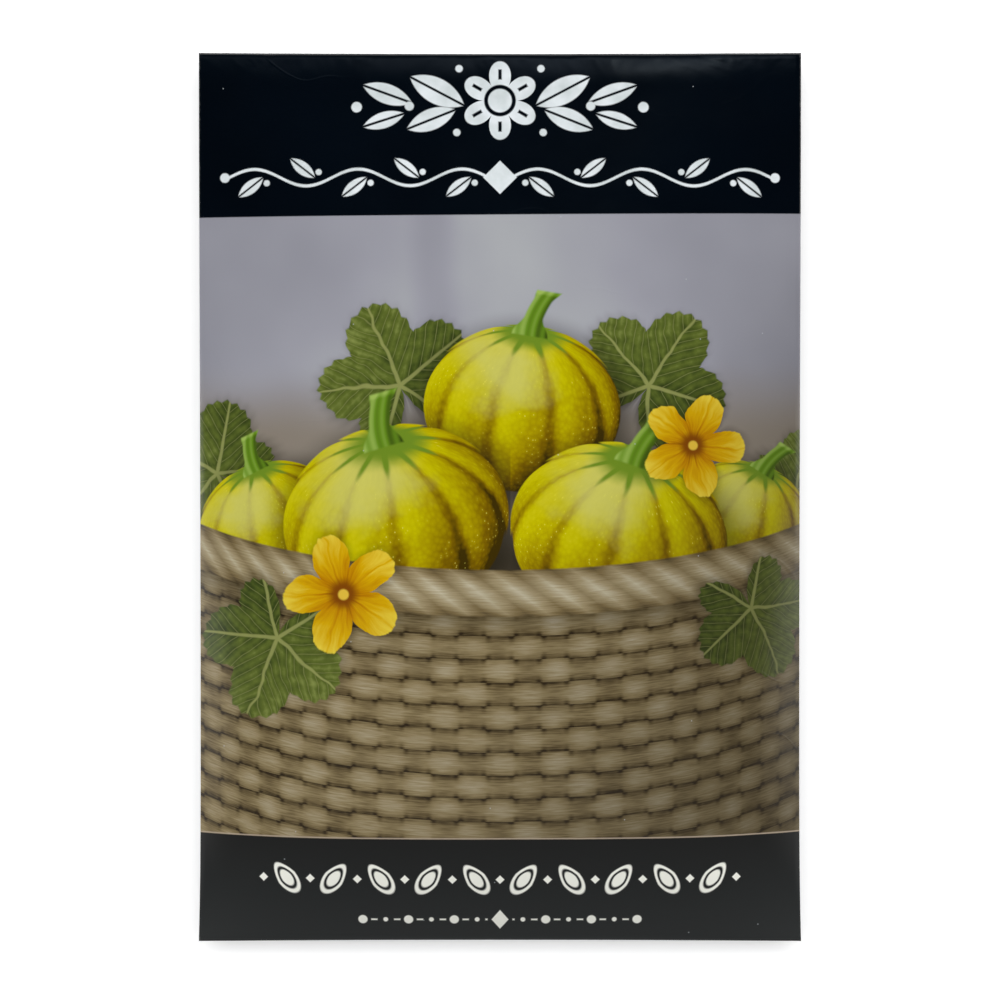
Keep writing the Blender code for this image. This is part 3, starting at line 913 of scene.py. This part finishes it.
def back_print(place, x, y):
    """The back's print: dark ends that meet the flaps, and a pale panel with a blank planting chart."""
    cloud = noise(place, 0.06, 2)
    colour = ramp(cloud, (0.3, 34, 36, 36), (0.7, 41, 44, 43))
    edge = length((abs(x) - 32.5).max(0.0), (abs(y + 5) - 35.5).max(0.0)) - 3
    colour = blend(colour, ink(221, 216, 200), soft_edge(edge, 0.15))
    colour = blend(colour, ink(150, 140, 96), soft_edge(abs(edge + 1.3) - 0.16, 0.12))
    half_chart, chart_foot, cell_x, cell_y, rule_pitch = 28.8, 8.5, 4.8, 5.0, 4.4
    chart_x, chart_y = abs(x) - half_chart, abs(y - 16) - 7.5
    line_x = abs((x + 100 * cell_x + half_chart).modulo(cell_x) - cell_x / 2) - cell_x / 2 + 0.1
    line_y = abs((y - chart_foot + 100 * cell_y).modulo(cell_y) - cell_y / 2) - cell_y / 2 + 0.1
    in_chart = soft_edge(chart_x.max(chart_y) - 0.1, 0.1)
    lines = soft_edge(-line_x, 0.1).max(soft_edge(-line_y, 0.1))
    column = ((x + half_chart) / cell_x).floor()
    row = ((y - chart_foot) / cell_y).floor()
    season = 1.2 - abs(column - 4.5 - (1 - row) * 1.6)
    colour = blend(colour, ink(176, 166, 40), in_chart * soft_edge(-season, 0.1) * 0.8)
    colour = blend(colour, ink(70, 72, 66), in_chart * lines)
    rules = abs((y + 100 * rule_pitch + 8).modulo(rule_pitch) - rule_pitch / 2) - 0.07
    ruled = (abs(x) - half_chart).max(abs(y + 26.3) - 8.9)
    colour = blend(colour, ink(120, 118, 108), soft_edge(rules.max(ruled), 0.1))
    sun_x, drop_x, icon_y = x + 17, x - 17, y + 4.5
    around = sun_x.angle(icon_y)
    reach = length(sun_x, icon_y)
    rays = (abs(around).zigzag(math.pi / 8) * reach - 0.28).max(3.0 - reach)
    sun = (reach - 2.1).min(rays.max(reach - 4.6))
    tip = abs(drop_x) * 0.911 - (4.2 - icon_y) * 0.413
    drop = (length(drop_x, icon_y + 0.9) - 2.1).min(tip.max(-icon_y))
    aside, rise = abs(x), icon_y + 0.6
    sprout = almond(aside * 0.77 - rise * 0.64, aside * 0.64 + rise * 0.77 - 2.4, 2.5, 1.1)
    stem = (aside - 0.25).max(abs(icon_y + 1.9) - 2.4)
    icons = sun.min(drop).min(sprout).min(stem)
    return blend(colour, ink(74, 92, 44), soft_edge(icons, 0.14))


lifts = {"Edge Lift": EDGE_LIFT, "Flat Side": FLAT_SIDE, "Flat Bottom": FLAT_BOTTOM, "Flat Top": FLAT_TOP}
back_tree = folding_tree("fold_under", (*lifts, "Raise"), lifted, 1)
printed_back = coated("printed_back", BACK_RUB, back_print)
back_rows = run_up(-HEIGHT / 2 + END_FOLD + 0.1 * MM, HEIGHT / 2 - BACK_TOP_SETBACK, BACK_STEP)
back_columns = run_up(-WIDTH / 2 + BACK_SIDE_SETBACK, WIDTH / 2 - RIGHT_FOLD, BACK_STEP)
back_columns += fold_arc(WIDTH / 2, RIGHT_FOLD, 1)
lap_columns = fold_arc(WIDTH / 2, LEFT_FOLD, -1)
lap_columns += run_up(-WIDTH / 2 + LEFT_FOLD, -WIDTH / 2 + SIDE_FLAP, BACK_STEP)
for name, columns, rise in (("back_panel", back_columns, 0.0), ("side_flap", lap_columns, PAPER)):
    panel = flat_panel(name, back_rows, columns, False)
    run_nodes(panel, back_tree, **folds, **lifts, Raise=rise, Finish=printed_back)
    made_solid(panel)

# The end flaps: the tails of the front panel, trimmed to a taper with round corners, folded over the back.
# The bottom one is glued all over by the maker, and the top one is stuck down once the seeds are in.
TOP_FLAP, BOTTOM_FLAP = 22 * MM, 13 * MM
FLAP_NICK, FLAP_TAPER = 0.8 * MM, 5 * MM
FLAP_CORNER = 2.5 * MM
FLAP_COLUMNS = 72


def flap_print(place, x, y, dark, pale):
    """A flap's print: the colour of the band that runs over the fold."""
    return ramp(noise(place, 0.05, 2), (0.3, *dark), (0.7, *pale))


def end_flap(name, depth, end_sign, dark, pale):
    """One end flap, from the crest of its fold to its free edge."""
    arc = [-place for place in fold_arc(HEIGHT / 2, END_FOLD, -1)]
    shares = run_up(0, 1, BACK_STEP / depth)
    rows = arc + [HEIGHT / 2 - END_FOLD - share * (depth - END_FOLD) for share in shares]
    free_edge = HEIGHT / 2 - depth
    rows += [free_edge + FLAP_CORNER * share for share in (0.8, 0.6, 0.42, 0.27, 0.15, 0.07, 0.02)]
    rows = sorted(set(rows), reverse=True)
    half_widths = []
    for place in rows:
        share = max(0, min(1, (HEIGHT / 2 - place) / depth))
        half = WIDTH / 2 - FLAP_NICK - FLAP_TAPER * share
        into = max(0, FLAP_CORNER - (place - free_edge))
        half -= FLAP_CORNER - math.sqrt(max(0, FLAP_CORNER**2 - into**2))
        half_widths.append(half)
    rows = [end_sign * place for place in rows]
    flap = flat_panel(name, rows, run_up(-1, 1, 2 / FLAP_COLUMNS), end_sign > 0, half_widths)
    finish = coated(f"printed_{name}", FLAP_RUB, flap_print, dark, pale)
    run_nodes(flap, back_tree, **folds, **lifts, Raise=-GLUE - PAPER, Finish=finish)
    made_solid(flap)


end_flap("top_flap", TOP_FLAP, 1, (3, 8, 14), (7, 13, 20))
end_flap("bottom_flap", BOTTOM_FLAP, -1, (38, 40, 40), (45, 47, 47))

# The setting: a plain white table that burns out, and soft light from low all round, as in a light tent.
# The tent's roof is dark where the camera looks through, so the varnish shows only a haze along the top edge.
# From below, and to light on its way to the packet's back, the table is clear glass over a soft light.
FLOOR_SIZE = 3.0
FLOOR_DROP = 0.01 * MM
SKY_LEVEL, UNDER_LEVEL, TABLE_GLOW = 3.3, 0.9, 0.4
half = FLOOR_SIZE / 2
floor_mesh = bpy.data.meshes.new("table")
corners = [(x * half, y * half, -FLOOR_DROP) for x, y in ((-1, -1), (1, -1), (1, 1), (-1, 1))]
floor_mesh.from_pydata(corners, [], [(0, 1, 2, 3)])
table = new_piece("table", floor_mesh)
table_paint, tree, shader = finished(
    "white_table", Roughness=1.0, Specular_IOR_Level=0.0, Base_Color=(0.93, 0.93, 0.93, 1),
    Emission_Color=(1, 1, 1, 1), Emission_Strength=TABLE_GLOW,
)
table_paint.cycles.emission_sampling = "NONE"
from_below = Field(add_node(tree, "ShaderNodeNewGeometry").outputs["Backfacing"])
ray = add_node(tree, "ShaderNodeLightPath").outputs
clear = add_node(tree, "ShaderNodeBsdfTransparent")
mixed = add_node(
    tree, "ShaderNodeMixShader", Fac=from_below.max(ray["Is Shadow Ray"]).max(ray["Is Diffuse Ray"])
)
join(shader.outputs["BSDF"], mixed.inputs[1])
join(clear.outputs["BSDF"], mixed.inputs[2])
feed(tree.nodes["Material Output"], Surface=mixed.outputs["Shader"])
floor_mesh.materials.append(table_paint)

sky = bpy.data.worlds.new("light_tent")
bpy.context.scene.world = sky
sky.use_nodes = True
tree = sky.node_tree
way = add_node(tree, "ShaderNodeTexCoord").outputs["Generated"]
way_right, way_back, way_up = split_place(way)
white, dark, haze_grey = (1, 1, 1, 1), (0.002, 0.002, 0.002, 1), (0.19, 0.23, 0.28, 1)
light = blend((0.3, 0.3, 0.3, 1), white, ease(way_up, 0.12, 0.42))
light = blend(light, dark, ease(way_up, 0.6, 0.78))
light = blend((0.1, 0.1, 0.1, 1), light, ease(way_back, -0.38, 0.08))
haze = ease(way_back, 0.36, 0.45) * (1 - ease(way_back, 0.47, 0.58)) * (1 - ease(way_right, 0.16, 0.26))
haze = haze * (ease(way_right, -0.2, 0.05) * 0.75 + 0.25)
light = blend(light, haze_grey, haze)
light = blend(light, (UNDER_LEVEL / SKY_LEVEL,) * 3 + (1,), way_up.below(0.0))
seen = add_node(tree, "ShaderNodeLightPath").outputs["Is Camera Ray"]
feed(tree.nodes["Background"], Color=blend(light, white, seen), Strength=SKY_LEVEL)
bpy.context.scene.view_settings.view_transform = "Standard"

# A small lamp far off behind the tent's roof, whose reflection lights up the top edge of the front.
GLEAM_WIDTH, GLEAM_DEPTH, GLEAM_POWER = 0.06, 0.16, 0.13
GLEAM_PLACE, GLEAM_BLUE = (0.365, 1.307, 2.718), (0.8, 0.93, 1.0)
gleam = bpy.data.lights.new("gleam", "AREA")
gleam.shape, gleam.size, gleam.size_y = "RECTANGLE", GLEAM_WIDTH, GLEAM_DEPTH
gleam.energy, gleam.color = GLEAM_POWER, GLEAM_BLUE
gleam_lamp = bpy.data.objects.new("gleam", gleam)
gleam_lamp.location = GLEAM_PLACE
gleam_lamp.rotation_euler = (-gleam_lamp.location).to_track_quat("-Z", "Y").to_euler()
bpy.context.scene.collection.objects.link(gleam_lamp)
